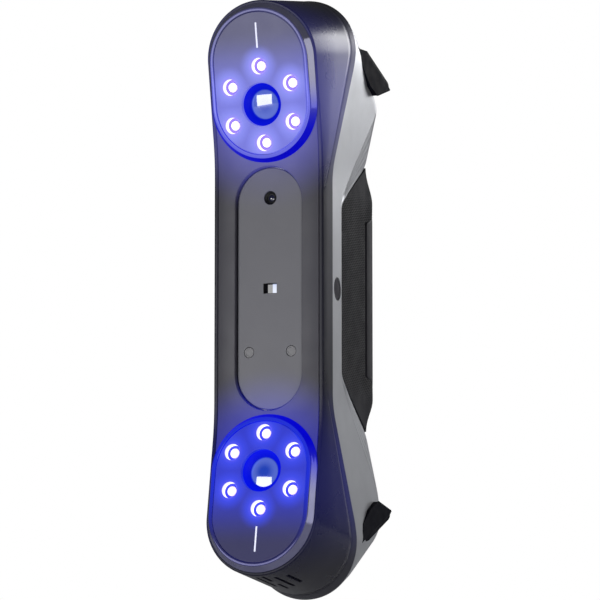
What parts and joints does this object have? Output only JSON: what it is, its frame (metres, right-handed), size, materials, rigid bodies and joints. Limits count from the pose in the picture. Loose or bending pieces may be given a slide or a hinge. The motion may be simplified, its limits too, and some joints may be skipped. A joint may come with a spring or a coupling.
{
  "type": "handheld scanner",
  "caption": "Handheld 3-D scanner: two toed-in lens pods with light rings, a central camera plate, a metallic shell and a textured rear handle with push buttons.",
  "frame": {"origin": "middle of the object's bounding box", "axes": "+Z along the scanner's length towards the upper pod; the lenses look along -Y; +X is the side with the round port plug"},
  "size_m": [0.042, 0.0732, 0.215],
  "materials": {
    "housing": "satin dark blue-grey metallic",
    "silver": "satin silver metallic",
    "plate": "fine satin grey",
    "window": "high gloss, dark tinted",
    "bezel": "gloss black chamfered ring",
    "grip": "fine diamond-woven texture",
    "cover": "smooth satin dark grey",
    "rubber": "matt rubber",
    "lens": "coated optical glass",
    "led": "white, lit violet-white from inside",
    "board": "printed circuit board",
    "metal": "bead blasted",
    "steel": "machined",
    "brass": "machined",
    "black": "matt black moulding"
  },
  "bodies": {
    "scanner": {"front_housing": "housing", "front_fascia": "housing", "rear_shell": "silver", "usb_socket": "steel", "grip_right": "grip", "grip_left": "grip", "handle_cover": "cover", "handle_core": "black", "button_panel": "window", "status_light": "led", "button_board": "board", "center_plate": "plate", "left_fill_light": "window", "right_fill_light": "window", "projector_window": "lens", "projector_module": "metal", "color_camera_barrel": "black", "color_camera_lens": "lens", "optical_frame": "metal", "main_board": "board", "heat_sink": "metal", "tripod_insert": "brass", "port_plug": "rubber", "upper_bezel": "bezel", "upper_window": "window", "upper_light_baffle": "black", "upper_led_board": "board", "upper_index_line": "led", "upper_lens_barrel": "black", "upper_lens": "lens", "upper_camera_board": "board", "upper_right_foot": "rubber", "upper_left_foot": "rubber", "lower_bezel": "bezel", "lower_window": "window", "lower_light_baffle": "black", "lower_led_board": "board", "lower_index_line": "led", "lower_lens_barrel": "black", "lower_lens": "lens", "lower_camera_board": "board", "lower_right_foot": "rubber", "lower_left_foot": "rubber", "frame_screw_1": "steel", "shell_screw_1": "steel", "frame_screw_2": "steel", "shell_screw_2": "steel", "frame_screw_3": "steel", "shell_screw_3": "steel", "frame_screw_4": "steel", "shell_screw_4": "steel"},
    "plus_button": {"button_plus": "rubber"},
    "scan_button": {"button_scan": "rubber"},
    "minus_button": {"button_minus": "rubber"}
  },
  "joints": [
    {"name": "plus_press", "type": "slide", "parent": "scanner", "child": "plus_button", "axis": [0, -1, 0], "range_m": [0, 0.0008], "stiffness_N_per_m": 800, "springref_m": -0.0015},
    {"name": "scan_press", "type": "slide", "parent": "scanner", "child": "scan_button", "axis": [0, -1, 0], "range_m": [0, 0.0008], "stiffness_N_per_m": 800, "springref_m": -0.0015},
    {"name": "minus_press", "type": "slide", "parent": "scanner", "child": "minus_button", "axis": [0, -1, 0], "range_m": [0, 0.0008], "stiffness_N_per_m": 800, "springref_m": -0.0015}
  ]
}
